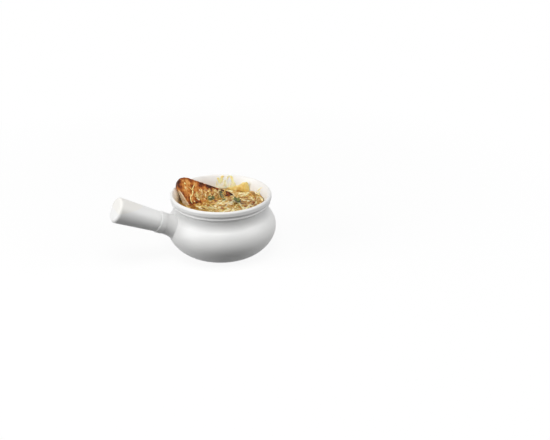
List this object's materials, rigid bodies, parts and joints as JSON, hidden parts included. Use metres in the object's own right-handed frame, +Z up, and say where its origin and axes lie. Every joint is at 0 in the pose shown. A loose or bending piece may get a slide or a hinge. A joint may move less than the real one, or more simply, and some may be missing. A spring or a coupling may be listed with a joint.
{
  "type": "onion soup crock",
  "caption": "Round-bellied white glazed soup crock with rolled rim and one upturned stick handle, served with broth, onions, melted cheese, leaning toast and thyme.",
  "frame": {"origin": "centre of the foot ring on the bowl axis, on the surface the crock stands on", "axes": "+Z up along the bowl axis; the handle points towards -X; the toast leans towards +Y"},
  "size_m": [0.1898, 0.124, 0.0809],
  "materials": {
    "white_glaze": "gloss",
    "broth": "gloss",
    "onion": "gloss",
    "melted_cheese": "satin",
    "pale_cheese": "satin",
    "toast": "matte",
    "thyme": "satin"
  },
  "bodies": {
    "crock": {"crock_bowl": "white_glaze", "handle_grip": "white_glaze", "broth": "broth", "onion_strands": "onion", "melted_cheese": "melted_cheese", "cheese_wisps": "pale_cheese", "cheese_fold": "melted_cheese", "thyme_right": "thyme"},
    "toast": {"toast_slice": "toast", "toast_cheese": "melted_cheese", "thyme_left": "thyme", "thyme_middle": "thyme"}
  },
  "joints": [
    {"name": "toast_lift", "type": "slide", "parent": "crock", "child": "toast", "axis": [-0.0154, 0.6291, 0.7771], "range_m": [0, 0.07]}
  ]
}
